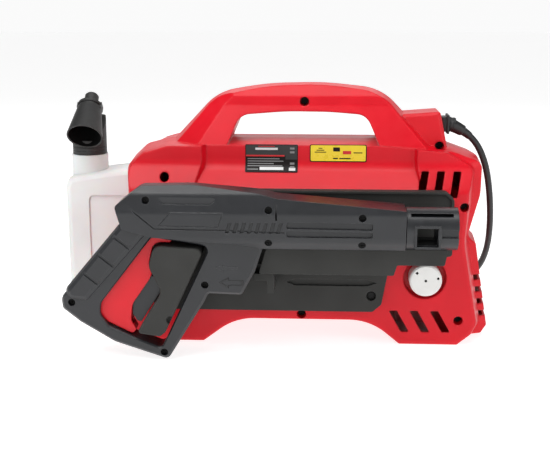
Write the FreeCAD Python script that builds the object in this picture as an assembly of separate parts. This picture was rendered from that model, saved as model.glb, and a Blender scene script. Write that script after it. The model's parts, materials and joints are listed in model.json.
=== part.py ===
import FreeCAD, Part
import math
import os

# Electric pressure washer: two-half housing with a carrying handle, motor and pump inside,
# spray gun hung on a cradle in front, foam bottle standing in a bay at the left end.
# Millimetres, +Z up, front is -Y. Everything is drawn about the housing's parting plane
# (Y = 0) and moved by TO_FOOTPRINT_CENTRE when it is written.

TO_FOOTPRINT_CENTRE = FreeCAD.Vector(3.65, 24.7, 0.0)

# --- driving dimensions ---
WALL = 3.0                      # housing wall
FRONT_Y = -68.0                 # housing front face
EDGE = 4.0                      # rounding of the housing's front edge
LABEL_WALL_Y = -42.0            # upright wall that carries the labels
MOTOR_Z = 108.0                 # motor axis height
MOTOR_R = 43.0                  # stator outer radius
GEAR_MODULE = 1.0
PINION_TEETH = 12
GEAR_TEETH = 48
GEAR_Z = MOTOR_Z - GEAR_MODULE * (PINION_TEETH + GEAR_TEETH) / 2
PISTON_R = 7.0
PISTON_CIRCLE_R = 17.0
CORD_Z = 223.0                  # height at which the lead leaves the cord box
KNOB_X, KNOB_Z = 155.5, 72.0
KNOB_R = 16.5
WELL_R = 22.0
WELL_DEPTH = 12.0
GUN_Y = -116.0                  # spray gun's parting plane
GUN_Z = 136.0                   # barrel axis height
GUN_WALL = 2.8
TRIGGER_PIVOT = (-98.0, -4.0)   # in the gun's own x, z
LOCK_PIVOT = (-122.3, -52.3)
VALVE_Z = 8.0                   # valve pin axis above the barrel axis
BOTTLE_X, BOTTLE_Y = -211.0, 35.0
BOTTLE_WALL = 1.5
NOZZLE_TILT = 43.0              # foam nozzle points this far below level, to the front
CORD_D = 7.0
COIL_CENTRE = (95.0, 168.0)
COIL_MEAN_R = 45.0
COIL_THICK = 28.6               # four turns side by side, and as many on top of each other
LEAD_Y = 112.5                  # outermost turns' front, where the cord joins and leaves the coil


def vec(x, y, z):
    return FreeCAD.Vector(x, y, z)


# --- outlines ---

def rounded_wire(corners, place):
    """Closed wire through corners (u, v) or (u, v, radius), with each corner rounded."""
    count = len(corners)
    starts, middles, ends = [], [], []
    for i, corner in enumerate(corners):
        here = vec(corner[0], corner[1], 0)
        radius = corner[2] if len(corner) > 2 else 0
        if radius == 0:
            starts.append(here)
            middles.append(None)
            ends.append(here)
            continue
        last, following = corners[i - 1], corners[(i + 1) % count]
        to_last = (vec(last[0], last[1], 0) - here).normalize()
        to_next = (vec(following[0], following[1], 0) - here).normalize()
        half = to_last.getAngle(to_next) / 2
        bisector = (to_last + to_next).normalize()
        reach = radius / math.tan(half)
        starts.append(here + to_last * reach)
        ends.append(here + to_next * reach)
        middles.append(here + bisector * (radius / math.sin(half) - radius))
    edges = []
    for i in range(count):
        if (starts[i] - ends[i - 1]).Length > 1e-6:
            edges.append(Part.LineSegment(place(ends[i - 1]), place(starts[i])).toShape())
        if middles[i] is not None:
            edges.append(Part.Arc(place(starts[i]), place(middles[i]), place(ends[i])).toShape())
    return Part.Wire(edges)


def turning(corners):
    """+1 for a counter-clockwise outline, -1 for a clockwise one."""
    area = sum(corners[i - 1][0] * c[1] - c[0] * corners[i - 1][1] for i, c in enumerate(corners))
    return 1 if area > 0 else -1


def inset(corners, depth):
    """The outline moved inwards by depth; radii follow, so walls keep their thickness."""
    side = turning(corners)
    count = len(corners)
    result = []
    for i, corner in enumerate(corners):
        here = vec(corner[0], corner[1], 0)
        last, following = corners[i - 1], corners[(i + 1) % count]
        along_1 = (here - vec(last[0], last[1], 0)).normalize()
        along_2 = (vec(following[0], following[1], 0) - here).normalize()
        normal_1 = vec(-along_1.y, along_1.x, 0) * side
        normal_2 = vec(-along_2.y, along_2.x, 0) * side
        mitre = (normal_1 + normal_2) / (1 + normal_1.dot(normal_2))
        moved = here + mitre * depth
        radius = corner[2] if len(corner) > 2 else 0
        if radius > 0:
            convex = (along_1.x * along_2.y - along_1.y * along_2.x) * side > 0
            radius = max(radius - depth if convex else radius + depth, 0.8)
        result.append((moved.x, moved.y, radius))
    return result


def blend(first, second, share):
    """Outline between two outlines with the same corners; share 0 is the first one."""
    return [tuple(a + (b - a) * share for a, b in zip(p, q)) for p, q in zip(first, second)]


def wire_xz(corners, y):
    return rounded_wire(corners, lambda p: vec(p.x, y, p.y))


def prism_xz(corners, y_low, y_high):
    return Part.Face(wire_xz(corners, y_low)).extrude(vec(0, y_high - y_low, 0))


def prism_yz(corners, x_low, x_high):
    wire = rounded_wire(corners, lambda p: vec(x_low, p.x, p.y))
    return Part.Face(wire).extrude(vec(x_high - x_low, 0, 0))


def prism_xy(corners, z_low, z_high):
    wire = rounded_wire(corners, lambda p: vec(p.x, p.y, z_low))
    return Part.Face(wire).extrude(vec(0, 0, z_high - z_low))


def loft_xz(sections):
    """Ruled solid through (outline, y) sections."""
    return Part.makeLoft([wire_xz(corners, y) for corners, y in sections], True, True)


# --- solids ---

def box(x_low, x_high, y_low, y_high, z_low, z_high):
    return Part.makeBox(x_high - x_low, y_high - y_low, z_high - z_low, vec(x_low, y_low, z_low))


def rod_x(radius, x_low, x_high, y, z):
    return Part.makeCylinder(radius, x_high - x_low, vec(x_low, y, z), vec(1, 0, 0))


def rod_y(radius, y_low, y_high, x, z):
    return Part.makeCylinder(radius, y_high - y_low, vec(x, y_low, z), vec(0, 1, 0))


def rod_z(radius, z_low, z_high, x, y):
    return Part.makeCylinder(radius, z_high - z_low, vec(x, y, z_low), vec(0, 0, 1))


def cone_z(r_low, r_high, z_low, z_high, x, y):
    return Part.makeCone(r_low, r_high, z_high - z_low, vec(x, y, z_low), vec(0, 0, 1))


def rod_between(start, end, radius):
    return Part.makeCylinder(radius, (end - start).Length, start, end - start)


def joined(shapes):
    result = shapes[0]
    if len(shapes) > 1:
        result = result.fuse(shapes[1:])
    return result.removeSplitter()


def half_space(point, normal, size=600.0):
    """Large block whose near face passes through point and which lies along normal."""
    block = Part.makeBox(size, size, size, vec(-size / 2, -size / 2, 0))
    block.Placement = FreeCAD.Placement(point, FreeCAD.Rotation(vec(0, 0, 1), normal))
    return block


def mirrored_y(shape):
    return shape.mirror(vec(0, 0, 0), vec(0, 1, 0))


def save(name, shape):
    solids = [s for s in shape.Solids if s.Volume > 0.5]
    result = solids[0] if len(solids) == 1 else Part.makeCompound(solids)
    result = result.copy()
    result.translate(TO_FOOTPRINT_CENTRE)
    result.exportStep("parts/" + name + ".step")


# --- housing ---

# outline at the parting plane, and outline of the front face, corner for corner;
# their feet reach below the floor by SOLE, which is then cut off flat
SOLE = 0.5
MID_OUTLINE = [
    (-146, -SOLE, 4), (-156, 14, 8), (-156, 184, 14), (-139, 200, 14), (-112, 207, 25),
    (108, 207, 25), (182, 202, 10), (215, 190, 12), (214.5, 155, 40), (203.5, 112, 6),
    (212, 104, 4), (227, 14, 6), (220, 3, 4), (196, -SOLE, 3), (131, -SOLE, 3),
    (100, 25, 60), (-40, 25, 60), (-74, -SOLE, 3)]
FRONT_OUTLINE = [
    (-140, -SOLE, 4), (-149, 14, 8), (-149, 178, 14), (-135, 194, 14), (-108, 203, 25),
    (108, 203, 25), (172, 199, 10), (199, 182, 10), (198, 155, 40), (195.5, 112, 6),
    (196, 104, 4), (211, 24, 6), (205, 11, 4), (191, -SOLE, 3), (131, -SOLE, 3),
    (100, 25, 60), (-40, 25, 60), (-74, -SOLE, 3)]
SHOULDER_X = 150                # right of this the top has a step down to the front face
HANDLE_OUTLINE = [
    (-136, 172), (-112, 203, 20), (-62, 256, 55), (-10, 265, 300), (50, 266.5, 300),
    (110, 260, 55), (194, 172)]
HANDLE_OPENING = [
    (-62, 176), (-37, 234, 16), (12, 237.8, 300), (56, 237.4, 300), (94, 234.5, 16), (120, 176)]
HANDLE_SECTION = [
    (8, 150), (-41.5, 150), (-41.5, 202, 20), (-22, 244, 8), (-20.5, 253, 4), (-8, 268, 2), (8, 268)]
CORD_BOX_OUTLINE = [(128, 190), (131, 234.5, 3), (170.5, 237.5, 3), (181, 190)]
CORD_BOX_Y = -21.0
SCREW_SPOTS = [
    (-112.5, 173.5, -52.0), (29, 31.5, FRONT_Y), (191, 27, FRONT_Y), (193, 146.4, -64.0),
    (-88, 33, FRONT_Y), (29.7, 247.5, -20.5), (170.5, 202, CORD_BOX_Y)]
UPPER_VENTS_X = [153.5, 169.5, 186.0]
LOWER_VENTS_X = [123.5, 144.7, 165.8]
END_VENTS_Z = [28, 41, 54, 67]
BAY_X = -126.0                  # the bottle stands left of this, behind the front half


def body_form(wall):
    """Half of the housing's body, from the parting plane to the front face."""
    shoulder = []
    for mid, front in zip(MID_OUTLINE, FRONT_OUTLINE):
        share = 0.35 if front[0] > SHOULDER_X else 0.62
        shoulder.append(tuple(f + (m - f) * share for m, f in zip(mid, front)))
    sections = [
        (inset(MID_OUTLINE, wall), 0),
        (inset(MID_OUTLINE, wall + 2.5), -41 + wall),
        (inset(shoulder, wall), -44 + wall),
        (inset(FRONT_OUTLINE, wall), FRONT_Y + EDGE + wall),
        (inset(FRONT_OUTLINE, wall + 0.3 * EDGE), FRONT_Y + 0.3 * EDGE + wall),
        (inset(FRONT_OUTLINE, wall + EDGE), FRONT_Y + wall)]
    return loft_xz(sections)


def label_pocket(wall):
    """What is cut away above the slope: the middle zone, and less at both ends."""
    middle = prism_yz([(LABEL_WALL_Y, 240), (LABEL_WALL_Y, 184, 16), (FRONT_Y - 0.4, 160, 14),
                       (FRONT_Y - 0.4, 120), (-110, 120), (-110, 240)], -110, 170)
    sides = prism_xy([(-69 - wall, LABEL_WALL_Y + 4), (142 + wall, LABEL_WALL_Y + 4),
                      (152 + wall, FRONT_Y - 6), (152 + wall, -120), (-86 - wall, -120),
                      (-86 - wall, FRONT_Y - 6)], 100, 260)
    ends = prism_yz([(-51, 240), (-51, 187, 16), (FRONT_Y - 0.4, 161, 14), (FRONT_Y - 0.4, 120),
                     (-110, 120), (-110, 240)], -200, 240)
    pocket = middle.common(sides).fuse(ends)
    pocket.translate(vec(0, wall, 0))
    return pocket


def facet(first, second, third, depth):
    """Block outside the plane through three points (front side), moved inwards by depth."""
    normal = (second - first).cross(third - first).normalize()
    if normal.y > 0:
        normal = normal * -1
    return half_space(first - normal * depth, normal)


def handle_form(wall):
    """Half of the handle with its legs, front facets cut on the legs' outer edges."""
    outline = inset(HANDLE_OUTLINE, wall)
    narrow = inset(HANDLE_OUTLINE, wall + 9)
    handle = loft_xz([(outline, 0), (narrow, -52)])
    handle = handle.cut(prism_xz(inset(HANDLE_OPENING, -wall), -80, 10))
    handle = handle.common(prism_yz(inset(HANDLE_SECTION, wall), -140, 200))
    left = facet(vec(-87, -46, 193), vec(-50, -22, 247), vec(-104, -35, 193), wall)
    right = facet(vec(165, -46, 191), vec(113, -22, 248), vec(128, -10, 246), wall)
    return handle.cut(left).cut(right)


def cord_box_form(wall):
    outline = inset(CORD_BOX_OUTLINE, wall)
    return loft_xz([(outline, 0), (outline, CORD_BOX_Y + 3 + wall),
                    (inset(outline, 3), CORD_BOX_Y + wall)])


def screw_posts():
    return [rod_y(7.0, y + 1.5, 0, x, z) for x, z, y in SCREW_SPOTS]


def slanted_slot(x, z_low, z_high, lean, width, y_low, y_high):
    half = width / 2
    corners = [(x - half, z_high, 1), (x + half, z_high, 1),
               (x + half + lean, z_low, 1), (x - half + lean, z_low, 1)]
    return prism_xz(corners, y_low, y_high)


def upper_vents():
    return [slanted_slot(x, 156, 181, -5, 7.6, -80, -40) for x in UPPER_VENTS_X]


def lower_vents():
    return [slanted_slot(x, 14, 37, 13, 8.4, -80, -58) for x in LOWER_VENTS_X]


def end_slots():
    return [box(196, 240, -44, -16, z - 3, z + 3) for z in END_VENTS_Z]


def carrier_ribs():
    """Upright ribs that carry the stator."""
    ribs = [box(x, x + 3, -64, 0, 20, 203) for x in (54, 96)]
    return [rib.cut(rod_x(MOTOR_R, 40, 110, 0, MOTOR_Z)) for rib in ribs]


def largest(shape):
    return max(shape.Solids, key=lambda solid: solid.Volume)


def housing_half():
    """Walls, ribs, posts and vents that both halves share, drawn as the front half."""
    outer = joined([body_form(0).cut(label_pocket(0)), handle_form(0), cord_box_form(0)])
    inner_body = body_form(WALL).cut(label_pocket(WALL))
    inner = inner_body.fuse([handle_form(WALL), cord_box_form(WALL)])
    fillings = [part.common(outer) for part in carrier_ribs() + screw_posts()]
    half = joined([outer.cut(inner)] + fillings)
    below_floor = box(-300, 300, -100, 10, -10, 0)
    return largest(half.cut(lower_vents() + end_slots() + [cord_outlet(), below_floor]))


def cord_outlet():
    """Square hole in the right side of the cord box, cut half in each shell."""
    return box(168, 190, -8, 8, CORD_Z - 8, CORD_Z + 8)


def make_front_shell(half):
    well = rod_y(WELL_R + 2.5, FRONT_Y + 1, FRONT_Y + WELL_DEPTH + 2.5, KNOB_X, KNOB_Z)
    shell = joined([half, well])
    cuts = [rod_y(WELL_R, FRONT_Y - 1, FRONT_Y + WELL_DEPTH, KNOB_X, KNOB_Z),
            rod_y(6.2, FRONT_Y, -40, KNOB_X, KNOB_Z)] + upper_vents()
    for x, z, y in SCREW_SPOTS:
        cuts.append(rod_y(4.8, y - 14, y + 12, x, z))
        cuts.append(rod_y(2.2, y, 1, x, z))
    for x, z in CRADLE_SCREWS:
        cuts.append(rod_y(1.6, FRONT_Y - 1, FRONT_Y + WALL + 1, x, z))
    save("front_shell", largest(shell.cut(cuts)))


def make_rear_shell(half):
    shell = mirrored_y(half)
    bay = box(-170, BAY_X, WALL, 90, 20, 215)
    wall_end = box(BAY_X, BAY_X + WALL, 0, 66, 22, 203).common(bay_form())
    wall_back = box(-155, BAY_X + WALL, 0, WALL, 22, 203).common(bay_form())
    shelf = prism_xy([(-206, 14, 8), (-206, 58, 8), (-140, 62), (BAY_X, 62), (BAY_X, 0), (-140, 0)],
                     14, 20)
    shell = joined([shell.cut(bay), wall_end, wall_back, shelf])
    cuts = []
    for x, z, y in SCREW_SPOTS:
        cuts.append(rod_y(1.95, -1, 16, x, z))
    for x, z, radius in PORTS:
        cuts.append(rod_y(radius + 1.2, 40, 80, x, z))
    save("rear_shell", largest(shell.cut(cuts)))


def bay_form():
    return mirrored_y(body_form(0).cut(label_pocket(0)))


def make_shell_screws():
    screws = []
    for x, z, y in SCREW_SPOTS:
        head = rod_y(3.8, y + 9.2, y + 12, x, z).cut(box(x - 0.6, x + 0.6, y + 9, y + 10.4, z - 3, z + 3))
        head = head.cut(box(x - 3, x + 3, y + 9, y + 10.4, z - 0.6, z + 0.6))
        screws.append(joined([head, rod_y(1.9, y + 12, 15, x, z)]))
    save("shell_screws", Part.makeCompound(screws))


# --- gun cradle ---

PLATE_BACK_Y = FRONT_Y - 0.4
PLATE_Y = -77.0
LEDGE_Y = -118.0
LEDGE_TOP = GUN_Z - 21
CRADLE_SCREWS = [(100.5, 55), (150, 140), (-40, 60)]
PLATE_OUTLINE = [
    (-124, 44, 6), (-118, 38, 4), (102, 38, 4), (111, 46, 4), (119, 92), (181, 98, 3),
    (181, 157, 7), (173, 164.5, 7), (-70, 164.5, 8), (-124, 120, 10)]
LEDGE_OUTLINE = [(-4.5, LEDGE_TOP, 2), (-12, 88.5, 2), (120, 88.5, 2), (123, 99, 2), (169, 99, 2),
                 (172, LEDGE_TOP, 2)]
CLIP_OUTLINE = [(-17, 80, 1), (-17, 87, 1), (3, 87, 1), (3, 67, 1), (-4, 67, 1), (-4, 80, 2)]
GROOVE_OUTLINE = [(14, 69), (22, 65.5), (96, 65.5), (106, 69), (96, 72), (22, 72)]


def make_gun_cradle():
    plate = prism_xz(PLATE_OUTLINE, PLATE_Y, PLATE_BACK_Y)
    rim = prism_xz(PLATE_OUTLINE, PLATE_Y - 2.5, PLATE_Y).cut(
        prism_xz(inset(PLATE_OUTLINE, 2.5), PLATE_Y - 3, PLATE_Y + 1))
    upper_rim = rim.common(box(-200, 200, -90, -60, 112, 170))
    ledge = prism_xz(LEDGE_OUTLINE, LEDGE_Y, PLATE_Y)
    hollow = prism_xz(inset(LEDGE_OUTLINE, 3), LEDGE_Y + 4, PLATE_BACK_Y + 1)
    clip = prism_xz(CLIP_OUTLINE, -112, PLATE_Y)
    cradle = joined([plate, upper_rim, ledge, clip])
    cuts = [hollow, prism_xz(GROOVE_OUTLINE, PLATE_Y - 1, PLATE_Y + 2.5)]
    for x, z in CRADLE_SCREWS:
        cuts.append(rod_y(5, PLATE_Y - 1, PLATE_Y + 5, x, z))
        cuts.append(rod_y(1.8, PLATE_Y, FRONT_Y, x, z))
    cuts.append(rod_y(1.8, PLATE_Y - 1, FRONT_Y, *PEG_SCREW))
    save("gun_cradle", largest(cradle.cut(cuts)))


def make_cradle_screws():
    screws = []
    for x, z in CRADLE_SCREWS:
        head = rod_y(3.6, PLATE_Y + 2.6, PLATE_Y + 5, x, z)
        screws.append(joined([head, rod_y(1.55, PLATE_Y + 5, FRONT_Y + WALL, x, z)]))
    screws.append(rod_y(1.75, PEG_FACE_Y + 12, FRONT_Y, *PEG_SCREW))
    save("cradle_screws", Part.makeCompound(screws))


PEG_FACE_Y = GUN_Y - 17.0
PEG_SCREW = (-88.0, 95.0)
# gun's own x, z
PEG_OUTLINE = [
    (-112.8, -16.8, 9), (-63.8, -19.5, 6), (-103.3, -104.4, 3), (-109, -109.2, 4),
    (-132, -105.8, 3), (-106, -63.5, 12), (-118.5, -38, 12)]


def make_gun_peg():
    outline = [(x, z + GUN_Z, r) for x, z, r in PEG_OUTLINE]
    peg = loft_xz([(outline, PLATE_Y), (outline, PEG_FACE_Y + 1.2),
                   (inset(outline, 1.2), PEG_FACE_Y)])
    hollow = prism_xz(inset(outline, 3.2), PEG_FACE_Y + 14, PLATE_Y + 1)
    post = rod_y(6, PEG_FACE_Y + 5, PLATE_Y, *PEG_SCREW).common(peg)
    notch = rod_y(4.2, PEG_FACE_Y - 1, PEG_FACE_Y + 8, -98, 44)
    peg = joined([peg.cut(hollow), post])
    save("gun_peg", largest(peg.cut([notch, rod_y(1.75, PEG_FACE_Y + 12, PLATE_Y + 1, *PEG_SCREW)])))


# --- switch ---

def make_switch():
    body = joined([
        box(KNOB_X - 17, KNOB_X + 17, -51, -34, KNOB_Z - 15, KNOB_Z + 15),
        rod_y(9, -53.5, -51, KNOB_X, KNOB_Z),
        rod_y(5.9, -58, -53.5, KNOB_X, KNOB_Z)])
    blades = [box(KNOB_X + x - 3, KNOB_X + x + 3, -34, -27, KNOB_Z - 9, KNOB_Z - 8) for x in (-10, 0, 10)]
    save("power_switch", joined([body.cut(rod_y(3.05, -60, -44, KNOB_X, KNOB_Z))] + blades))


def make_switch_knob():
    """White dial knob with a stem, and small sockets in its face."""
    low, top = FRONT_Y + WELL_DEPTH - 2.5, FRONT_Y - 9.5
    profile = [(0, low), (KNOB_R - 1, low), (KNOB_R, low - 1), (KNOB_R, top + 1.5),
               (KNOB_R - 1.5, top), (0, top)]
    points = [vec(KNOB_X + r, y, KNOB_Z) for r, y in profile]
    face = Part.Face(Part.makePolygon(points + [points[0]]))
    knob = face.revolve(vec(KNOB_X, 0, KNOB_Z), vec(0, 1, 0), 360)
    diamond = [(KNOB_X - 9 + x, KNOB_Z + 8 + z) for x, z in ((-1.7, 0), (0, 1.7), (1.7, 0), (0, -1.7))]
    cuts = [rod_y(1.3, top - 1, top + 2.5, KNOB_X, KNOB_Z), prism_xz(diamond, top - 1, top + 2.5),
            rod_y(1.3, top - 1, top + 2.5, KNOB_X + 12.5, KNOB_Z + 2.6)]
    stem = rod_y(3.0, low, -45, KNOB_X, KNOB_Z)
    save("switch_knob", joined([knob, stem]).cut(cuts))


# --- motor ---

STATOR_X = (45.0, 107.0)
SHAFT_R = 5.0
ARMATURE_R = 23.5
FAN_X = (146.0, 166.0)
COMMUTATOR_X = (112.0, 128.0)
BRACKET_X = (118.0, 138.0)


def ring_x(outer, inner, x_low, x_high, y, z):
    tube = rod_x(outer, x_low, x_high, y, z)
    return tube.cut(rod_x(inner, x_low - 1, x_high + 1, y, z))


def turned_x(shape, degrees, z=MOTOR_Z):
    copy = shape.copy()
    copy.rotate(vec(0, 0, z), vec(1, 0, 0), degrees)
    return copy


def make_stator():
    """Laminated ring with an upper and a lower pole."""
    low, high = STATOR_X
    ring = ring_x(MOTOR_R, 35.5, low, high, 0, MOTOR_Z)
    pole = box(low, high, -14, 14, MOTOR_Z + 24, MOTOR_Z + 37)
    shoe = ring_x(29, 24.5, low, high, 0, MOTOR_Z).common(
        box(low, high, -22, 22, MOTOR_Z + 10, MOTOR_Z + 30))
    pole = joined([pole.cut(rod_x(24.5, low - 1, high + 1, 0, MOTOR_Z)), shoe])
    save("motor_stator", joined([ring, pole, turned_x(pole, 180)]))


def make_field_coils():
    """One closed loop of wire round each pole."""
    low, high = STATOR_X
    outline = [(low - 9, -21, 6), (high + 6, -21, 6), (high + 6, 21, 6), (low - 9, 21, 6)]
    hole = [(low - 0.1, -14.2), (high + 0.1, -14.2), (high + 0.1, 14.2), (low - 0.1, 14.2)]
    coil = prism_xy(outline, MOTOR_Z + 29.3, MOTOR_Z + 35).cut(
        prism_xy(hole, MOTOR_Z + 28, MOTOR_Z + 36))
    coil = coil.common(rod_x(35.3, low - 12, high + 12, 0, MOTOR_Z))
    save("field_coils", Part.makeCompound([coil, turned_x(coil, 180)]))


def make_end_bracket():
    low, high = BRACKET_X
    arm = box(high - 6, high, -9, 9, MOTOR_Z - 42, MOTOR_Z + 42)
    hub = rod_x(15, high - 11, high, 0, MOTOR_Z)
    tie = [box(STATOR_X[1], high, -9, 9, z - 2, z + 2) for z in (MOTOR_Z - 40, MOTOR_Z + 40)]
    bracket = joined([arm, turned_x(arm, 90), hub] + tie)
    bracket = bracket.cut([rod_x(11, high - 12, high - 4, 0, MOTOR_Z),
                           rod_x(SHAFT_R + 1.5, low - 5, high + 1, 0, MOTOR_Z)])
    save("motor_end_bracket", bracket)


def make_bearings():
    """Ball bearings at both ends of the motor shaft, each drawn as an inner and outer ring."""
    rings = []
    for x in (BRACKET_X[1] - 11, GEARBOX_X[1] - 9):
        rings.append(ring_x(11, 8.6, x, x + 7, 0, MOTOR_Z))
        rings.append(ring_x(7, SHAFT_R + 0.05, x, x + 7, 0, MOTOR_Z))
        rings += [ball(x + 3.5, turn) for turn in range(0, 360, 45)]
    save("motor_bearings", Part.makeCompound(rings))


def ball(x, turn):
    angle = math.radians(turn)
    centre = vec(x, 7.8 * math.cos(angle), MOTOR_Z + 7.8 * math.sin(angle))
    return Part.makeSphere(0.78, centre)


def make_brushes():
    """Carbon brushes pressed on the commutator from front and back, in brass guides."""
    guides, brushes = [], []
    for turn in (0, 180):
        guide = box(114, 124, 17, 34, MOTOR_Z - 5, MOTOR_Z + 5).cut(
            box(115.5, 122.5, 16, 33, MOTOR_Z - 3.5, MOTOR_Z + 3.5))
        guide = joined([guide, box(124, BRACKET_X[1] - 6, 22, 30, MOTOR_Z - 3, MOTOR_Z + 3)])
        brush = box(115.6, 122.4, 13.4, 28, MOTOR_Z - 3.4, MOTOR_Z + 3.4)
        guides.append(turned_x(guide, turn))
        brushes.append(turned_x(brush, turn))
    save("brush_holders", Part.makeCompound(guides))
    save("carbon_brushes", Part.makeCompound(brushes))


def make_rotor():
    """Shaft with its pinion, laminated core, windings, commutator and fan."""
    shaft = joined([rod_x(4.4, PINION_X[0] - 2, PINION_X[1], 0, MOTOR_Z),
                    rod_x(SHAFT_R, PINION_X[1], FAN_X[1] + 4, 0, MOTOR_Z)])
    pinion = gear(PINION_TEETH, PINION_X[0], PINION_X[1], MOTOR_Z, 0)
    save("motor_shaft", joined([shaft, pinion]))
    core_x = (STATOR_X[0] + 2, STATOR_X[1] - 2)
    core = ring_x(ARMATURE_R, SHAFT_R, core_x[0], core_x[1], 0, MOTOR_Z)
    slot = box(core_x[0] - 1, core_x[1] + 1, -1.2, 1.2, MOTOR_Z + 15, MOTOR_Z + 26)
    core = core.cut([turned_x(slot, turn) for turn in range(0, 360, 30)])
    save("armature_core", core)
    ends = [ring_x(20, SHAFT_R + 1, core_x[0] - 9, core_x[0], 0, MOTOR_Z),
            ring_x(20, SHAFT_R + 1, core_x[1], core_x[1] + 6, 0, MOTOR_Z)]
    save("armature_windings", Part.makeCompound(ends))
    commutator = ring_x(13, SHAFT_R, COMMUTATOR_X[0], COMMUTATOR_X[1] - 2, 0, MOTOR_Z)
    gap = box(COMMUTATOR_X[0] - 1, COMMUTATOR_X[1], -0.3, 0.3, MOTOR_Z + 11.5, MOTOR_Z + 14)
    commutator = commutator.cut([turned_x(gap, turn) for turn in range(0, 360, 15)])
    save("commutator", commutator)


def make_fan():
    low, high = FAN_X
    hub = ring_x(10, SHAFT_R, low, high, 0, MOTOR_Z)
    disc = ring_x(38, SHAFT_R, low, low + 2, 0, MOTOR_Z)
    blade = prism_yz([(-1, MOTOR_Z + 8), (1, MOTOR_Z + 8), (9, MOTOR_Z + 36), (7, MOTOR_Z + 36.5)],
                     low, high - 2)
    save("cooling_fan", joined([hub, disc] + [turned_x(blade, turn) for turn in range(0, 360, 36)]))


# --- gears and gearbox ---

PINION_X = (-24.0, -6.0)
GEAR_X = (-22.0, -8.0)
GEARBOX_X = (-40.0, 36.0)


def gear(teeth, x_low, x_high, axis_z, first_tooth):
    """Straight-toothed wheel; first_tooth is the angle of a tooth from straight up, in degrees."""
    pitch_r = GEAR_MODULE * teeth / 2
    root_r, tip_r = pitch_r - 1.25 * GEAR_MODULE, pitch_r + 0.92 * GEAR_MODULE
    step = 2 * math.pi / teeth
    points = []
    for i in range(teeth):
        middle = math.radians(first_tooth) + i * step
        for radius, share in ((root_r, -0.33), (pitch_r, -0.225), (tip_r, -0.1),
                              (tip_r, 0.1), (pitch_r, 0.225), (root_r, 0.33)):
            angle = middle + share * step
            points.append((radius * math.sin(angle), axis_z + radius * math.cos(angle)))
    return prism_yz(points, x_low, x_high)


def make_drive_gear():
    """Large gear, its stub shaft and the slanted cam that drives the wobble plate."""
    wheel = gear(GEAR_TEETH, GEAR_X[0], GEAR_X[1], GEAR_Z, 360 / GEAR_TEETH / 2)
    holes = [rod_x(4, GEAR_X[0] - 1, GEAR_X[1] + 1, 14 * math.cos(a), GEAR_Z + 14 * math.sin(a))
             for a in (math.radians(turn) for turn in range(30, 390, 60))]
    save("drive_gear", wheel.cut(holes + [rod_x(6, GEAR_X[0] - 1, GEAR_X[1] + 1, 0, GEAR_Z)]))
    save("gear_shaft", rod_x(6, GEAR_X[0] - 14, GEAR_X[1] + 12, 0, GEAR_Z))
    cam = rod_x(22, -34, GEAR_X[0], 0, GEAR_Z).cut(rod_x(6, -40, 0, 0, GEAR_Z))
    slope = half_space(vec(-31, 0, GEAR_Z), vec(-1, 0, 0.14))
    save("slanted_cam", cam.cut(slope))


PLATE_X = (-42.0, -38.0)


def make_wobble_plate():
    disc = ring_x(25, 8, PLATE_X[0], PLATE_X[1], 0, GEAR_Z)
    save("wobble_plate", disc)


def make_gearbox():
    """Cast housing round the gears: open to the pump on the left, bearing seat on the right."""
    low, high = GEARBOX_X
    outline = [(-33, GEAR_Z - 33, 12), (33, GEAR_Z - 33, 12), (33, MOTOR_Z + 4, 16),
               (16, MOTOR_Z + 18, 10), (-16, MOTOR_Z + 18, 10), (-33, MOTOR_Z + 4, 16)]
    body = prism_yz(outline, low - 8, -2)
    neck = rod_x(17, -2, high, 0, MOTOR_Z)
    flange = ring_x(MOTOR_R, 17, high - 4, high, 0, MOTOR_Z)
    webs = [box(-3, high - 3, -2, 2, MOTOR_Z + 14, MOTOR_Z + 34),
            box(-3, high - 3, -2, 2, MOTOR_Z - 38, MOTOR_Z - 14)]
    body = joined([body, neck, flange] + webs)
    cuts = [rod_x(GEAR_MODULE * GEAR_TEETH / 2 + 2.2, low - 9, -6, 0, GEAR_Z),
            rod_x(GEAR_MODULE * PINION_TEETH / 2 + 2.2, low - 9, -4, 0, MOTOR_Z),
            rod_x(6.05, -7, 6, 0, GEAR_Z),
            rod_x(SHAFT_R + 1, -5, high + 1, 0, MOTOR_Z),
            rod_x(11, high - 9, high + 1, 0, MOTOR_Z)]
    save("gear_housing", body.cut(cuts))


# --- pump ---

PUMP_X = (-116.0, -48.0)
INLET = (-100.0, 62.0, 13.2)        # x, z, outer radius of the G3/4 thread
OUTLET = (-66.0, 62.0, 11.0)        # x, z, outer radius of the M22 thread
PORTS = [INLET, OUTLET]
PORT_END_Y = 88.0


def piston_spots():
    for number in range(3):
        angle = math.radians(90 + 120 * number)
        yield number + 1, PISTON_CIRCLE_R * math.cos(angle), GEAR_Z + PISTON_CIRCLE_R * math.sin(angle)


def make_pump_head():
    low, high = PUMP_X
    head = rod_x(34, low + 26, high, 0, GEAR_Z)
    block = box(low, low + 28, -27, 30, GEAR_Z - 28, GEAR_Z + 28)
    ports = [rod_y(14, 25, 46, INLET[0], INLET[1]), rod_y(13, 0, 46, OUTLET[0], OUTLET[1])]
    head = joined([head, block] + ports)
    cuts = [rod_x(27, high - 13, high + 1, 0, GEAR_Z)]
    for number, y, z in piston_spots():
        cuts.append(rod_x(PISTON_R + 0.05, low + 20, high - 13, y, z))
        cuts.append(rod_x(9.4, high - 20, high - 13, y, z))
    for x, z, radius in PORTS:
        cuts.append(rod_y(7.5, 20, 47, x, z))
    save("pump_head", largest(head.cut(cuts)))


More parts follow.
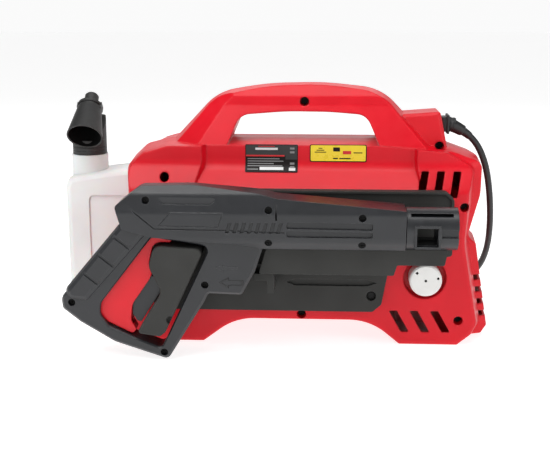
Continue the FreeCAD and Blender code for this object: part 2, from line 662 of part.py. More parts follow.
def make_pistons():
    """Three plungers, each with a spring collar and a ringed return spring."""
    high = PUMP_X[1]
    for number, y, z in piston_spots():
        plunger = rod_x(PISTON_R, PUMP_X[0] + 30, PLATE_X[0] - 0.3, y, z)
        collar = rod_x(9, high + 2, high + 5, y, z)
        save("piston_%d" % number, joined([plunger, collar]))
        coils = [Part.makeTorus(8.1, 0.85, vec(high - 18.5 + 3.85 * turn, y, z), vec(1, 0, 0))
                 for turn in range(6)]
        save("piston_spring_%d" % number, Part.makeCompound(coils))


def make_valve_caps():
    """Six hexagon plugs over the suction and pressure valves."""
    caps = []
    low = PUMP_X[0]
    for y in (-17, 0, 17):
        for z in (GEAR_Z - 14, GEAR_Z + 14):
            corners = [(y + 7.5 * math.cos(math.radians(t)), z + 7.5 * math.sin(math.radians(t)))
                       for t in range(0, 360, 60)]
            caps.append(prism_yz(corners, low - 5, low))
    save("valve_caps", Part.makeCompound(caps))


def make_ports():
    """Water inlet and pressure outlet standing out of the back; the threads' outer radii are kept."""
    x, z, radius = INLET
    nipple = joined([rod_y(radius - 0.9, 46, 72, x, z), rod_y(radius + 1, 62, 66, x, z),
                     rod_y(radius, 72, PORT_END_Y, x, z)])
    save("water_inlet", nipple.cut(rod_y(9.5, 45, PORT_END_Y + 1, x, z)))
    cup = rod_y(9.2, 68, PORT_END_Y - 1, x, z).cut(rod_y(8.2, 70, PORT_END_Y, x, z))
    lip = rod_y(9.45, PORT_END_Y - 3, PORT_END_Y - 1, x, z).cut(rod_y(8.2, 60, PORT_END_Y, x, z))
    save("inlet_filter", joined([cup, lip]))
    x, z, radius = OUTLET
    nipple = joined([rod_y(radius - 0.9, 46, 72, x, z), rod_y(radius + 1, 62, 66, x, z),
                     rod_y(radius, 72, PORT_END_Y, x, z)])
    save("pressure_outlet", nipple.cut([rod_y(7.0, 70, PORT_END_Y + 1, x, z),
                                        rod_y(4, 45, PORT_END_Y, x, z)]))


def make_electrics():
    """Micro switch on the pump, capacitor, and the clamp that holds the lead."""
    body = box(-92, -64, -10, 2, GEAR_Z + 36, GEAR_Z + 52)
    plunger = rod_z(2.2, GEAR_Z + 34, GEAR_Z + 36, -78, -4)
    terminals = [box(x, x + 1, -7, -1, GEAR_Z + 52, GEAR_Z + 60) for x in (-88, -78, -68)]
    save("pressure_switch", joined([body, plunger] + terminals))
    can = joined([rod_z(13, 160, 198, -35, 8), rod_z(4, 198, 201, -35, 8)])
    save("capacitor", can)
    clamp = box(140, 154, -17.9, 17.9, CORD_Z - 9, CORD_Z - 4)
    bridge = prism_yz([(-12, CORD_Z - 4), (12, CORD_Z - 4), (12, CORD_Z + 1), (4, CORD_Z + 6, 2),
                       (-4, CORD_Z + 6, 2), (-12, CORD_Z + 1)], 141, 153)
    clamp = joined([clamp, bridge]).cut(rod_x(CORD_D / 2, 130, 160, 0, CORD_Z))
    save("cord_clamp", clamp)


# --- spray gun (outlines in the gun's own x, z; its barrel axis is z = 0) ---

GUN_BODY = [
    (-143, 0, 3), (-149.5, 22, 4), (-142.5, 27.5, 5), (-125.5, 40.5, 12), (-75, 41.8, 60),
    (-13, 35.2, 50), (7, 30.5, 3), (129.6, 20.2), (129.6, -20), (-2, -20, 4), (-30, -15, 10),
    (-112, -8, 10)]
GUN_BODY_SECTION = [
    (30, 42), (-6, 42, 3), (-14, 34.5, 8), (-20, 16, 10), (-20, -10, 10), (-12, -20, 4), (30, -20)]
GUN_FRAME = [
    (-139.5, 10), (-146.5, 1, 5), (-207, -71.5, 11), (-206, -83, 6), (-188.5, -97, 8),
    (-155, -117, 40), (-102, -134.4, 6), (-65, -74, 20), (-61, -65.5, 3), (-28, -66.5, 4),
    (-21.5, -54, 4), (-15, -42.5, 2), (-7, -18, 2), (-7, 2.5)]
GUN_OPENING = [
    (-115.5, -9.5, 5), (-59, -18, 6), (-108, -122.3, 5), (-136.3, -111.3, 20), (-161, -99.9, 10),
    (-169, -88.5, 9), (-168, -77.5, 10)]
GRIP_PANEL = [
    (-122, 12, 6), (-147, 3, 6), (-206, -67, 8), (-196, -73.5, 6), (-180, -75, 8), (-111, 3, 6)]
FRAME_HALF_Y = 12.5
GRIP_HALF_Y = 16.0
GUN_SCREWS = [
    (-119.5, 28, -16.5), (-1.5, 20, -19.5), (-1.5, -12, -19.5), (-64, -56.5, -FRAME_HALF_Y),
    (-196.5, -76.5, -FRAME_HALF_Y), (-105.5, -126.5, -FRAME_HALF_Y), (88, 13.5, -20), (88, -13.5, -20)]
COLLAR_X = (130.2, 179.5)
COLLAR_R = 20.6


def at_gun(shape):
    """Moves a piece drawn about the gun's barrel axis to where the gun hangs."""
    placed = shape.copy()
    placed.translate(vec(0, GUN_Y, GUN_Z))
    return placed


def gun_body_form(wall):
    section = inset(GUN_BODY_SECTION, wall)
    body = prism_xz(inset(GUN_BODY, wall), -25, 1)
    return body.common(prism_yz(section, -220, 140))


def gun_frame_form(wall):
    depth = FRAME_HALF_Y - wall
    outline = inset(GUN_FRAME, wall)
    frame = loft_xz([(outline, 1), (outline, -depth + 2.5), (inset(outline, 2.5), -depth)])
    opening = inset(GUN_OPENING, -wall)
    flared = loft_xz([(opening, 2), (opening, -depth + 1.5), (inset(opening, -2.5), -depth - 1)])
    return frame.cut(flared)


def grip_form(wall):
    depth = GRIP_HALF_Y - wall
    outline = inset(GRIP_PANEL, wall)
    return loft_xz([(outline, 1), (outline, -depth + 6), (inset(outline, 2), -depth + 2.2),
                    (inset(outline, 5.5), -depth)])


def grip_grooves():
    """Three short grooves across the grip's outer edge."""
    grooves = []
    for x, z in ((-148, -11), (-163, -30), (-178, -49)):
        slot = Part.makeBox(30, 8, 3, vec(-6, 0, -1.5))
        slot.rotate(vec(0, 0, 0), vec(0, 1, 0), 38)
        slot.translate(vec(x, -GRIP_HALF_Y - 6.4, z))
        grooves.append(slot)
    return grooves


def line_groove(points, width, y_low, y_high):
    """Narrow groove along straight runs in the x, z plane."""
    pieces = []
    for (x0, z0), (x1, z1) in zip(points, points[1:]):
        along = vec(x1 - x0, 0, z1 - z0)
        side = vec(-along.z, 0, along.x).normalize() * (width / 2)
        start, end = vec(x0, y_low, z0), vec(x1, y_low, z1)
        corners = [start + side, end + side, end - side, start - side, start + side]
        face = Part.Face(Part.makePolygon(corners))
        pieces.append(face.extrude(vec(0, y_high - y_low, 0)))
    return pieces


def gun_side_details():
    """Flutes, slanted vents, panel lines and the long recess near the top."""
    cuts = [prism_xz([(16, 2.4, 1.5), (16, 9, 2), (98, 8.2, 2), (98, 1.6, 1.5)], -25, -17.4),
            prism_xz([(16, -6, 2), (16, 0.4, 1.5), (98, -0.4, 1.5), (98, -6, 2)], -25, -17.4)]
    for number in range(8):
        x = -41 + 7 * number
        cuts.append(prism_xz([(x - 2, -2.5), (x + 1.5, -2.5), (x + 4.5, 8), (x + 1, 8)], -25, -17.6))
    cuts += line_groove([(-141, 26), (-111, 0.9), (-45, 0.4), (14, -1.5)], 1.4, -25, -18.6)
    cuts += line_groove([(-95, 17.5), (-45, 17.2), (-49.5, 3.4), (-107, 4), (-95, 17.5)], 0.9, -25, -19.4)
    cuts.append(prism_xz([(-109, 33, 3), (-60, 32, 3), (-50, 29, 2), (-58, 24, 2), (-104, 24.5, 3)],
                         -25, -15.2))
    cuts += line_groove([(6, 31), (6, 10)], 1.6, -25, -17)
    return cuts


def trigger_slot():
    """Way for the trigger into the grip and up to its pin."""
    return [prism_xz([(-98, 12), (-121, 10), (-124, -6), (-146, -33), (-183.5, -70, 8), (-182, -80, 6),
                      (-171, -94), (-160, -98), (-150, -58), (-112, -20), (-84, -22), (-84, 12)], -7.6, 1)]


def gun_half():
    """Front half of the gun shell; the rear half is its mirror image."""
    outer = joined([gun_body_form(0), gun_frame_form(0), grip_form(0)])
    inner = gun_body_form(GUN_WALL).fuse([gun_frame_form(GUN_WALL), grip_form(GUN_WALL)])
    posts = [rod_y(4.9, y + 1.5, 0, x, z) for x, z, y in GUN_SCREWS]
    ring = rod_y(6, -14, 0, *TRIGGER_PIVOT).cut(rod_y(7, -7.6, 1, *TRIGGER_PIVOT))
    half = joined([outer.cut(inner)] + [post.common(outer) for post in posts] + [ring])
    half = half.common(box(-300, 300, -60, 0, -200, 100))
    cuts = trigger_slot() + gun_side_details() + [
        rod_x(5.2, 120, 130, 0, 0), rod_y(2.55, -10.5, 1, *TRIGGER_PIVOT)] + tube_channels()
    return half.cut(cuts)


def tube_channels():
    """Room for the water tubes through the ribs and posts."""
    runs = [rod_between(start, end, GRIP_TUBE_R + 0.6) for start, end in GRIP_TUBE_RUNS]
    return runs + [rod_between(GRIP_TUBE[-1] + vec(-0.4, 0, 14), GRIP_TUBE[-1] - vec(-0.4, 0, 14), 6.3)]


GRIP_TUBE = [vec(-80, 0, 18), vec(-123, 0, 18), vec(-138.5, 0, -4), vec(-181, 0, -57),
             vec(-187.4, 0, -72), vec(-186.6, 0, -97)]
GRIP_TUBE_RUNS = list(zip(GRIP_TUBE, GRIP_TUBE[1:]))
GRIP_TUBE_R = 3.5
MUZZLE_X = 139.0


def make_gun_shells():
    half = gun_half()
    front_cuts = grip_grooves()
    for x, z, y in GUN_SCREWS:
        front_cuts.append(rod_y(3.7, y - 4, y + 6.5, x, z))
        front_cuts.append(rod_y(1.5, y, 1, x, z))
    arrow = prism_xz([(-54, -39, 0), (-46, -35.5, 0), (-46, -37.8, 0), (-32, -37.8, 0), (-32, -40.2, 0),
                      (-46, -40.2, 0), (-46, -42.5, 0)], -FRAME_HALF_Y - 0.5, -FRAME_HALF_Y + 0.5)
    front = joined([largest(half.cut(front_cuts)), arrow])
    save("gun_front_half", at_gun(largest(front)))
    rear_cuts = [mirrored_y(groove) for groove in grip_grooves()]
    rear_cuts += [rod_y(1.4, -1, 8, x, z) for x, z, y in GUN_SCREWS]
    save("gun_rear_half", at_gun(largest(mirrored_y(half).cut(rear_cuts))))


def make_gun_screws():
    screws = []
    for x, z, y in GUN_SCREWS:
        head = rod_y(3.1, y + 4.2, y + 6.5, x, z)
        slot = [box(x - 0.5, x + 0.5, y + 4, y + 5.2, z - 2.3, z + 2.3),
                box(x - 2.3, x + 2.3, y + 4, y + 5.2, z - 0.5, z + 0.5)]
        screws.append(joined([head.cut(slot), rod_y(1.35, y + 6.5, 7, x, z)]))
    save("gun_screws", at_gun(Part.makeCompound(screws)))


def make_muzzle_collar():
    """Bayonet collar: windows front and back, a slot on top and one below."""
    low, high = COLLAR_X
    collar = ring_x(COLLAR_R, 13.5, low, high, 0, 0)
    lip = ring_x(COLLAR_R, 5.3, low, low + 3, 0, 0)
    frame = [box(low + 9, low + 31, -21.4, -12, z, z + 2) for z in (4.6, -15.6)]
    frame += [box(x, x + 2, -21.4, -12, -15.6, 6.6) for x in (low + 7.5, low + 30)]
    frame += [mirrored_y(piece) for piece in frame]
    collar = joined([collar, lip] + frame)
    window = box(low + 9.5, low + 29.5, -30, 30, -13, 4.2)
    top_slot = box(low + 4, low + 44, -30, 30, 14.2, 17)
    ears = box(low + 33, high + 1, -30, 30, -5, 3).cut(box(150, 200, -17, 17, -10, 10))
    bore = rod_x(13.5, low + 3, high + 1, 0, 0)
    chamber = rod_x(14.1, low + 3, low + 33, 0, 0)
    collar = collar.cut([window, ears, bore, chamber, top_slot.cut(rod_x(16.5, 120, 190, 0, 0))])
    save("muzzle_collar", at_gun(largest(collar)))


def make_gun_plumbing():
    """Brass valve block with the tube to the muzzle and the tube down the grip."""
    block = box(-80, -46, -9, 9, -7, 31)
    tube = rod_x(5, -47, MUZZLE_X, 0, 0)
    nozzle_seat = rod_x(8, MUZZLE_X - 5, MUZZLE_X, 0, 0)
    runs = [rod_between(start, end, GRIP_TUBE_R) for start, end in GRIP_TUBE_RUNS]
    elbows = [Part.makeSphere(GRIP_TUBE_R, start) for start, end in GRIP_TUBE_RUNS[1:]]
    shape = joined([block, tube, nozzle_seat] + runs + elbows)
    shape = shape.cut([rod_x(2.0, -40, MUZZLE_X + 1, 0, 0), rod_x(2.06, -81, -60, 0, VALVE_Z),
                       rod_x(4.2, -70, -54, 0, VALVE_Z), rod_x(4, MUZZLE_X - 4, MUZZLE_X + 1, 0, 0)])
    save("valve_body", at_gun(largest(shape)))
    pin = joined([rod_x(2.0, -88.5, -58, 0, VALVE_Z), rod_x(3.9, -69.5, -67.5, 0, VALVE_Z)])
    save("valve_pin", at_gun(pin))
    coils = [Part.makeTorus(3.2, 0.45, vec(-66.7 + 1.9 * turn, 0, VALVE_Z), vec(1, 0, 0))
             for turn in range(7)]
    save("valve_spring", at_gun(Part.makeCompound(coils)))


def make_trigger():
    """Red trigger on its pin, with an upper arm that pushes the valve pin."""
    outline = [(-118.5, -10.5, 3), (-97, -13.5), (-98, -15.4, 1), (-114.6, -15, 10), (-119.8, -38, 12),
               (-117, -47.5, 3), (-119, -52.5, 2), (-137.3, -79, 16), (-139, -96, 8), (-133.8, -105, 2),
               (-137.5, -109.2, 3), (-161.5, -97.6, 8), (-170.5, -89, 9), (-170, -78, 8), (-140, -40, 30)]
    blade = prism_xz(outline, -7, 7)
    neck = prism_xz([(-118, -13), (-97.5, -14.5), (-93, -6), (-103, -4)], -7, 7)
    eye = rod_y(6, -7, 7, *TRIGGER_PIVOT)
    arm = prism_xz([(-103, -4), (-94, -4), (-89.2, 10, 1), (-93, 11, 1)], -4, 4)
    trigger = joined([blade, neck, eye, arm])
    recess = prism_xz([(-114, -44), (-129, -46), (-153, -84), (-150, -100), (-120, -106), (-104, -62)],
                      -4.3, 4.3)
    foot = prism_xz([(-155, -100), (-128, -100), (-128, -112), (-155, -112)], -8, 8)
    trigger = trigger.cut([recess.cut(foot), rod_y(2.5, -8, 8, *TRIGGER_PIVOT)])
    bridge = rod_y(1.2, -7, 7, *LOCK_PIVOT)
    save("trigger", at_gun(largest(joined([trigger, bridge]))))
    save("trigger_pin", at_gun(rod_y(2.45, -10.4, 10.4, *TRIGGER_PIVOT)))


def make_trigger_lock():
    """Black safety catch that hangs in the trigger's recess."""
    outline = [(-126, -50.5, 2), (-121.5, -48, 2), (-113.5, -52.5, 2), (-109.8, -61, 4),
               (-109.8, -67, 4), (-128.9, -97.5, 2), (-133, -97, 2), (-137.5, -90, 4), (-137.5, -78, 6),
               (-127.5, -62, 4)]
    lock = prism_xz(outline, -4, 4)
    save("trigger_lock", at_gun(lock.cut(rod_y(1.26, -5, 5, *LOCK_PIVOT))))


def make_hose_inlet():
    """Steel nipple for the pressure hose, set in the grip's lower end."""
    end = GRIP_TUBE[-1]
    along = (end - GRIP_TUBE[-2]).normalize()
    start = end - along * 13
    nipple = rod_between(start, end - along * 2, 6).fuse(rod_between(start, start + along * 3, 7.5))
    bore = rod_between(start - along, end + along, GRIP_TUBE_R + 0.02)
    save("hose_inlet", at_gun(nipple.cut(bore)))


# --- foam bottle ---

BOTTLE_BOTTOM = 20.2
BOTTLE_OUTLINE = [
    (-234, BOTTLE_BOTTOM, 8), (-141, BOTTLE_BOTTOM, 8), (-141, 172, 7), (-186, 167, 3),
    (-230, 160, 6), (-234, 150, 6)]
BOTTLE_HALF_Y = 27.0
NECK_R = 20.0
NECK_TOP = 183.0


def bottle_form(wall):
    outline = inset(BOTTLE_OUTLINE, wall)
    depth = BOTTLE_HALF_Y - wall
    half = loft_xz([(outline, 0), (outline, -depth + 6), (inset(outline, 1.8), -depth + 1.8),
                    (inset(outline, 6), -depth)])
    body = joined([half, mirrored_y(half)])
    body.translate(vec(0, BOTTLE_Y, 0))
    recess = inset([(-208, 40, 6), (-160, 40, 6), (-160, 140, 6), (-208, 140, 6)], -wall)
    panel = prism_xz(recess, BOTTLE_Y - 40, BOTTLE_Y - BOTTLE_HALF_Y + 1.5 + wall)
    neck = rod_z(NECK_R - wall, 150, NECK_TOP + wall, BOTTLE_X, BOTTLE_Y)
    return joined([body.cut(panel), neck])


def make_bottle():
    bottle = bottle_form(0).cut(bottle_form(BOTTLE_WALL))
    save("foam_bottle", largest(bottle))


def make_bottle_cap():
    """Stopper with a plug that fits the neck, and the suction tube pressed into it."""
    top = NECK_TOP + 16
    cap = joined([rod_z(18.8, NECK_TOP + 0.2, top, BOTTLE_X, BOTTLE_Y),
                  rod_z(NECK_R - BOTTLE_WALL - 0.4, NECK_TOP - 12, NECK_TOP + 0.2, BOTTLE_X, BOTTLE_Y)])
    rings = [rod_z(19.5, z, z + 0.8, BOTTLE_X, BOTTLE_Y).cut(rod_z(18.2, z, z + 0.8, BOTTLE_X, BOTTLE_Y))
             for z in (NECK_TOP + 4, NECK_TOP + 8)]
    cup = rod_z(14, NECK_TOP - 13, NECK_TOP - 2, BOTTLE_X, BOTTLE_Y).cut(
        rod_z(5, NECK_TOP - 14, NECK_TOP, BOTTLE_X, BOTTLE_Y))
    bore = rod_z(3.0, NECK_TOP - 14, top + 1, BOTTLE_X, BOTTLE_Y)
    save("bottle_cap", cap.cut(rings + [cup, bore]))
    tube = rod_z(3.0, BOTTLE_BOTTOM + 8, top - 0.5, BOTTLE_X, BOTTLE_Y)
    save("suction_tube", tube.cut(rod_z(2.0, BOTTLE_BOTTOM + 7, top, BOTTLE_X, BOTTLE_Y)))


MOUTH_Z = 206.0


def make_foam_nozzle():
    """Foam head: cone with an open mouth to the front, bayonet plug with ears at the back."""
    origin, axis = vec(0, 0, 0), vec(0, 0, 1)
    cone = Part.makeCone(19.4, 13.4, 38, origin, axis)
    neck = Part.makeCylinder(12.2, 8, vec(0, 0, 37), axis)
    ring = Part.makeCylinder(13.6, 3, vec(0, 0, 41), axis)
    ears = Part.makeBox(27, 10, 7, vec(-13.5, -5, 38))
    plug = Part.makeCylinder(7.7, 14, vec(0, 0, 43), axis).fuse(
        Part.makeCone(7.7, 6.2, 2, vec(0, 0, 57), axis))
    hollow = Part.makeCone(17.8, 11.5, 36, vec(0, 0, -0.01), axis)
    throat = Part.makeCylinder(2.5, 80, vec(0, 0, 10), axis)
    tilt = math.radians(NOZZLE_TILT)
    placement = FreeCAD.Placement(vec(BOTTLE_X + 2.5, BOTTLE_Y - 33, MOUTH_Z),
                                  FreeCAD.Rotation(axis, vec(0, math.cos(tilt), math.sin(tilt))))
    head = joined([cone, neck, ring, ears, plug])
    for piece in (head, hollow, throat):
        piece.Placement = placement
    stem = rod_z(18.8, NECK_TOP + 16, MOUTH_Z + 19, BOTTLE_X, BOTTLE_Y)
    head = head.cut(rod_z(19.1, NECK_TOP - 20, NECK_TOP + 16, BOTTLE_X, BOTTLE_Y))
    roof = half_space(placement.multVec(vec(0, 13.6, 20)), vec(0, -math.sin(tilt), math.cos(tilt)))
    save("foam_nozzle", largest(joined([stem.cut(roof), head]).cut([hollow, throat])))


# --- power cord ---

CORD_ROUTE = [
    (189.0, 0, 219.4), (197.2, 0, 215.5), (207.6, 0, 207.2), (216.3, 1.5, 195), (225, 6, 173),
    (231.5, 15, 138), (235.5, 32, 102), (237, 57, 70), (232, 82, 42), (216, 102, 22), (195, 112, 9),
    (171, LEAD_Y, 3.8), (148, LEAD_Y, 3.8)]


def cord_path():
    """Straight runs with tangent arcs, each arc as large as its two runs allow."""
    points = [vec(*p) for p in CORD_ROUTE]
    edges, last = [], points[0]
    radii = []
    for before, here, after in zip(points, points[1:], points[2:]):
        to_last, to_next = before - here, after - here
        shorter = min(to_last.Length, to_next.Length)
        to_last.normalize()
        to_next.normalize()
        half_turn = (math.pi - to_last.getAngle(to_next)) / 2
        reach = 0.45 * shorter
        radius = reach / math.tan(half_turn)
        radii.append(radius)
        start, end = here + to_last * reach, here + to_next * reach
        middle = here + (to_last + to_next).normalize() * (radius / math.cos(half_turn) - radius)
        edges.append(Part.LineSegment(last, start).toShape())
        edges.append(Part.Arc(start, middle, end).toShape())
        last = end
    edges.append(Part.LineSegment(last, points[-1]).toShape())
    return Part.Wire(edges), radii


def make_cord():
    path, radii = cord_path()
    start = vec(*CORD_ROUTE[0])
    circle = Part.Wire(Part.Circle(start, vec(*CORD_ROUTE[1]) - start, CORD_D / 2).toShape())
    tube = path.makePipeShell([circle], True, False)
    section = math.pi * CORD_D ** 2 / 4
    print("cord tube: length %.0f mm, volume / (section x length) %.4f" % (
        path.Length, tube.Volume / (section * path.Length)))
    print("cord radii, mm:", " ".join("%.0f" % radius for radius in radii))
    save("power_cord", tube)
    x, y = COIL_CENTRE
    coil = rod_z(COIL_MEAN_R + COIL_THICK / 2, 0, COIL_THICK, x, y).cut(
        rod_z(COIL_MEAN_R - COIL_THICK / 2, -1, COIL_THICK + 1, x, y))
    feed = rod_x(CORD_D / 2, x, CORD_ROUTE[-1][0], LEAD_Y, CORD_ROUTE[-1][2])
    lead = rod_x(CORD_D / 2, PLUG_X[1], x, LEAD_Y, PLUG_Z)
    save("cord_coil", joined([coil, feed, lead]))


def make_coil_tie():
    """Strap round the coil's bundle of turns, with its buckle on top."""
    x, y = COIL_CENTRE
    half, high = COIL_THICK / 2 + 0.7, COIL_THICK + 0.1
    strap = box(-7, 7, -half - 1.6, half + 1.6, 0.1, high + 1.6).cut(box(-8, 8, -half, half, -1, high))
    buckle = box(-6, 6, -7, 7, high + 1.6, high + 4.6)
    tie = joined([strap, buckle])
    tie.translate(vec(x, y - COIL_MEAN_R, 0))
    tie.rotate(vec(x, y, 0), vec(0, 0, 1), 120)
    save("coil_tie", tie)


PLUG_X = (-30.0, 16.0)
PLUG_Z = 13.2
PIN_PITCH = 19.0


def make_plug():
    """Moulded plug lying flat behind the machine, left of the coil, pins pointing left."""
    y = LEAD_Y
    low, high = PLUG_X
    outline = [(low, y - 17, 4), (low + 22, y - 17, 6), (low + 30, y - 9, 8), (high, y - 6, 2),
               (high, y + 6, 2), (low + 30, y + 9, 8), (low + 22, y + 17, 6), (low, y + 17, 4)]
    body = prism_xy(outline, PLUG_Z - 13, PLUG_Z + 13)
    waist = [prism_xy([(x, y - 20), (x + 2, y - 20), (x + 2, y - 12), (x, y - 12)], 0, 40)
             for x in (low + 10, low + 14, low + 18)]
    body = body.cut(waist).cut(rod_x(6, low - 1, low + 3, y, PLUG_Z))
    save("plug_body", largest(body))
    pins = []
    for side in (-0.5, 0.5):
        place = y + side * PIN_PITCH
        shank = rod_x(2.4, low - 18, low, place, PLUG_Z)
        tip = rod_x(1.6, low - 19, low - 18, place, PLUG_Z)
        pins.append(joined([shank, tip]))
    save("plug_pins", Part.makeCompound(pins))


def make_strain_relief():
    """Moulded grommet in the cord box, tapering over the first stretch of the lead."""
    end, ahead = vec(*CORD_ROUTE[0]), vec(*CORD_ROUTE[1])
    along = (ahead - end).normalize()
    start = end - along * 15
    inside = rod_x(CORD_D / 2, 139, 166, 0, CORD_Z)
    grommet = box(166, 181.5, -7.9, 7.9, CORD_Z - 7.9, CORD_Z + 7.9)
    flange = box(178.8, 181.5, -10, 10, CORD_Z - 10, CORD_Z + 10)
    sleeve = Part.makeCone(7.2, 4.4, 15, start, along)
    rings = [rod_between(end - along * back, end - along * (back - 1.4), 9).cut(
        rod_between(end - along * back, end - along * (back - 1.4), 4.6)) for back in (5.5, 2.7)]
    save("strain_relief", joined([inside, grommet, flange, sleeve.cut(rings)]))


def main():
    os.makedirs("parts", exist_ok=True)
    half = housing_half()
    make_front_shell(half)
    make_rear_shell(half)
    for make in (
            make_shell_screws, make_gun_cradle, make_cradle_screws, make_gun_peg, make_switch,
            make_switch_knob, make_stator, make_field_coils, make_end_bracket, make_bearings,
            make_brushes, make_rotor, make_fan, make_drive_gear, make_wobble_plate, make_gearbox,
            make_pump_head, make_pistons, make_valve_caps, make_ports, make_electrics,
            make_gun_shells, make_gun_screws, make_muzzle_collar, make_gun_plumbing, make_trigger,
            make_trigger_lock, make_hose_inlet, make_bottle, make_bottle_cap, make_foam_nozzle,
            make_strain_relief, make_cord, make_coil_tie, make_plug):
        make()


main()
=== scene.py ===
"""Looks of a portable pressure washer: finishes, mains lead, labels and small details."""

import json
import math

import bmesh
import bpy
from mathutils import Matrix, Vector


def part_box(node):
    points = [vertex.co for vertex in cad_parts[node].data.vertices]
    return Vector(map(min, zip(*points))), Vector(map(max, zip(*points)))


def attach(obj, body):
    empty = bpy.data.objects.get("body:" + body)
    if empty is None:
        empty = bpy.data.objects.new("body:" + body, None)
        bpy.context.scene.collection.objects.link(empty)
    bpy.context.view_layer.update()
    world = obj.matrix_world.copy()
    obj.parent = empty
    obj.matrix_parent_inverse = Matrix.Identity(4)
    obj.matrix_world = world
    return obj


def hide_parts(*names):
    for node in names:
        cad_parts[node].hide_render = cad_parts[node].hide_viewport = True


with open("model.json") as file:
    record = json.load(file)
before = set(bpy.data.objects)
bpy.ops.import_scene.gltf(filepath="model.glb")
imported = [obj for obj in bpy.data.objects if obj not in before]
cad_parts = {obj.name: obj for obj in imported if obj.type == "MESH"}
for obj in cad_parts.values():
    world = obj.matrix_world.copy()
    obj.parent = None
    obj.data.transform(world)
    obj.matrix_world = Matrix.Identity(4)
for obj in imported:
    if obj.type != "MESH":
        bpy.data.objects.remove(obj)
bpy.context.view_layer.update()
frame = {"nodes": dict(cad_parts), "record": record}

MM = 0.001
SHIFT = Vector((3.65, 24.7, 0.0))       # from part.py's own millimetres to the row frame
FOCAL_MM, SENSOR_MM = 65.45, 36.0
VIEW_TARGET = (0.0, -40.0, 120.0)
VIEW_DISTANCE = 1050.0
VIEW_AZIMUTH, VIEW_ELEVATION = 3.0, 13.0
FLOOR_RADIUS, FLOOR_SIDES = 9.0, 96      # metres, corners
LIGHTS_AIM = (0, 0, 120)
HORIZON_GLOW, ZENITH_GLOW = 0.96, 0.12
HORIZON_END, ZENITH_START = 0.08, 0.45  # sine of the height above the horizon


def at(x, y, z):
    """A place given in part.py's own millimetres, in the row frame's metres."""
    return (Vector((x, y, z)) + SHIFT) * MM


# --- camera, light, floor ---

def direction(azimuth, elevation):
    """Unit vector from the object towards a viewer; azimuth 0 is the front, degrees."""
    a, e = math.radians(azimuth), math.radians(elevation)
    return Vector((math.sin(a) * math.cos(e), -math.cos(a) * math.cos(e), math.sin(e)))


def aim(thing, towards_viewer):
    thing.rotation_mode = "QUATERNION"
    thing.rotation_quaternion = (-towards_viewer).to_track_quat("-Z", "Y")


def add_camera():
    data = bpy.data.cameras.new("camera")
    data.lens, data.sensor_width = FOCAL_MM, SENSOR_MM
    data.clip_start, data.clip_end = 0.05, 50.0
    camera = bpy.data.objects.new("camera", data)
    bpy.context.scene.collection.objects.link(camera)
    back = direction(VIEW_AZIMUTH, VIEW_ELEVATION)
    camera.location = at(*VIEW_TARGET) + back * VIEW_DISTANCE * MM
    aim(camera, back)
    bpy.context.scene.camera = camera


def add_area_light(name, azimuth, elevation, distance, size, watts):
    data = bpy.data.lights.new(name, "AREA")
    data.shape, data.size, data.size_y = "RECTANGLE", size[0], size[1]
    data.energy = watts
    light = bpy.data.objects.new(name, data)
    bpy.context.scene.collection.objects.link(light)
    back = direction(azimuth, elevation)
    light.location = at(*LIGHTS_AIM) + back * distance
    light.visible_camera = False
    aim(light, back)


def add_studio():
    """Four soft lamps (azimuth, elevation, distance in metres, size, watts) and a pale sky."""
    add_area_light("key_light", -35, 50, 1.7, (1.1, 0.7), 12)
    add_area_light("fill_light", 50, 20, 1.9, (1.0, 0.8), 6)
    add_area_light("top_light", 0, 75, 1.5, (1.6, 0.6), 13)
    add_area_light("back_light", 180, 40, 1.8, (1.6, 1.0), 9)
    world = bpy.data.worlds.new("studio")
    bpy.context.scene.world = world
    world.use_nodes = True
    background = world.node_tree.nodes["Background"]
    background.inputs["Color"].default_value = (1.0, 1.0, 1.0, 1.0)
    coord = world.node_tree.nodes.new("ShaderNodeTexCoord")
    split = world.node_tree.nodes.new("ShaderNodeSeparateXYZ")
    world.node_tree.links.new(coord.outputs["Generated"], split.inputs["Vector"])
    glow = link_range(world.node_tree, split.outputs["Z"], HORIZON_END, ZENITH_START,
                      HORIZON_GLOW, ZENITH_GLOW)
    world.node_tree.links.new(glow, background.inputs["Strength"])
    bpy.context.scene.view_settings.view_transform = "Standard"


def add_floor(material):
    """Pale round floor, far wider than any view of it."""
    mesh = bmesh.new()
    mesh.faces.new([mesh.verts.new((u, v, 0.0)) for u, v in circle(FLOOR_RADIUS, FLOOR_SIDES)])
    floor = add_object("floor", mesh, material)


# --- small helpers for meshes ---

def add_object(name, mesh, material, body=None):
    data = bpy.data.meshes.new(name)
    bmesh.ops.recalc_face_normals(mesh, faces=mesh.faces)
    mesh.to_mesh(data)
    mesh.free()
    data.materials.append(material)
    thing = bpy.data.objects.new(name, data)
    bpy.context.scene.collection.objects.link(thing)
    if body:
        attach(thing, body)
    return thing


def circle(radius, sides):
    """Corners (u, v) evenly round a circle."""
    return [(radius * math.cos(math.tau * k / sides), radius * math.sin(math.tau * k / sides))
            for k in range(sides)]


def walk(line, distance):
    """Place and heading at a distance along a line of points."""
    for start, end in zip(line, line[1:]):
        step = (end - start).length
        if distance <= step or end is line[-1]:
            return start + (end - start).normalized() * distance, (end - start).normalized()
        distance -= step


def skin(mesh, rings, capped):
    """Faces between neighbouring rings, and over both ends if capped."""
    for lower, upper in zip(rings, rings[1:]):
        for k in range(len(lower)):
            n = (k + 1) % len(lower)
            mesh.faces.new((lower[k], lower[n], upper[n], upper[k]))
    if capped:
        mesh.faces.new(rings[0][::-1])
        mesh.faces.new(rings[-1])


